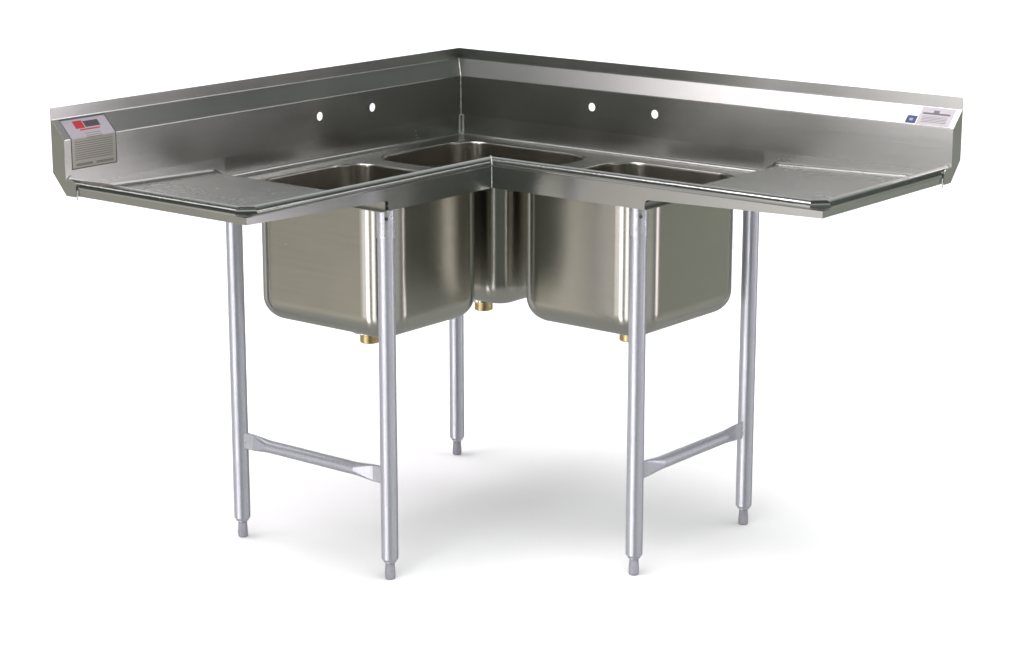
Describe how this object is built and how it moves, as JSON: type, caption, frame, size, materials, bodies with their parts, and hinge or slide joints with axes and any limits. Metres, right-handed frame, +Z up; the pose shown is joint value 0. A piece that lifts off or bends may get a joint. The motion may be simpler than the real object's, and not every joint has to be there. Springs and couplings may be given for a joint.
{
  "type": "three compartment corner sink",
  "caption": "L-shaped corner sink with deep bowls, pitched drainboards, rolled front rim, tall backsplash and tubular legs with adjustable feet.",
  "frame": {"origin": "on the floor, under the middle of the bounding box", "axes": "+Z up; +X along the longer wing, away from the room corner; +Y towards the wall behind that wing; the room corner is at -X +Y"},
  "size_m": [1.56, 1.47, 1.15],
  "materials": {
    "stainless": "satin brushed",
    "galvanised": "galvanised, lightly spangled",
    "socket_steel": "satin",
    "screw_steel": "plated",
    "strainer_steel": "polished",
    "brass": "machined, dull",
    "gasket_rubber": "matte",
    "foot_grey": "semi-gloss",
    "bush_plastic": "matte",
    "label_white": "satin vinyl",
    "badge_grey": "satin foil"
  },
  "bodies": {
    "frame": {"bowl_deck": "stainless", "left_drainboard": "stainless", "right_drainboard": "stainless", "left_rim": "stainless", "right_rim": "stainless", "left_skirt": "stainless", "right_skirt": "stainless", "left_backsplash": "stainless", "right_backsplash": "stainless", "left_end_cap": "stainless", "right_end_cap": "stainless", "left_bowl": "stainless", "corner_bowl": "stainless", "right_bowl": "stainless", "left_stiffener": "stainless", "right_stiffener": "stainless", "left_wall_leg": "galvanised", "left_wall_socket": "socket_steel", "left_wall_bush": "bush_plastic", "left_front_leg": "galvanised", "left_front_socket": "socket_steel", "left_front_bush": "bush_plastic", "corner_leg": "galvanised", "corner_socket": "socket_steel", "corner_bush": "bush_plastic", "right_front_leg": "galvanised", "right_front_socket": "socket_steel", "right_front_bush": "bush_plastic", "right_wall_leg": "galvanised", "right_wall_socket": "socket_steel", "right_wall_bush": "bush_plastic", "left_cross_member": "stainless", "right_cross_member": "stainless", "left_cross_rail": "galvanised", "right_cross_rail": "galvanised", "set_screws": "screw_steel", "left_strainer": "strainer_steel", "left_gasket": "gasket_rubber", "left_locknut": "brass", "left_outlet": "brass", "corner_strainer": "strainer_steel", "corner_gasket": "gasket_rubber", "corner_locknut": "brass", "corner_outlet": "brass", "right_strainer": "strainer_steel", "right_gasket": "gasket_rubber", "right_locknut": "brass", "right_outlet": "brass", "left_label": "label_white", "right_label": "label_white", "right_badge": "badge_grey"},
    "left_basket": {"left_basket": "strainer_steel"},
    "corner_basket": {"corner_basket": "strainer_steel"},
    "right_basket": {"right_basket": "strainer_steel"},
    "left_wall_foot": {"left_wall_foot": "foot_grey"},
    "left_front_foot": {"left_front_foot": "foot_grey"},
    "corner_foot": {"corner_foot": "foot_grey"},
    "right_front_foot": {"right_front_foot": "foot_grey"},
    "right_wall_foot": {"right_wall_foot": "foot_grey"}
  },
  "joints": [
    {"name": "left_wall_foot_screw", "type": "slide", "parent": "frame", "child": "left_wall_foot", "axis": [0, 0, 1], "range_m": [-0.025, 0]},
    {"name": "left_front_foot_screw", "type": "slide", "parent": "frame", "child": "left_front_foot", "axis": [0, 0, 1], "range_m": [-0.025, 0]},
    {"name": "corner_foot_screw", "type": "slide", "parent": "frame", "child": "corner_foot", "axis": [0, 0, 1], "range_m": [-0.025, 0]},
    {"name": "right_front_foot_screw", "type": "slide", "parent": "frame", "child": "right_front_foot", "axis": [0, 0, 1], "range_m": [-0.025, 0]},
    {"name": "right_wall_foot_screw", "type": "slide", "parent": "frame", "child": "right_wall_foot", "axis": [0, 0, 1], "range_m": [-0.025, 0]},
    {"name": "left_basket_lift", "type": "slide", "parent": "frame", "child": "left_basket", "axis": [0, 0, 1], "range_m": [0, 0.5]},
    {"name": "corner_basket_lift", "type": "slide", "parent": "frame", "child": "corner_basket", "axis": [0, 0, 1], "range_m": [0, 0.5]},
    {"name": "right_basket_lift", "type": "slide", "parent": "frame", "child": "right_basket", "axis": [0, 0, 1], "range_m": [0, 0.5]}
  ]
}
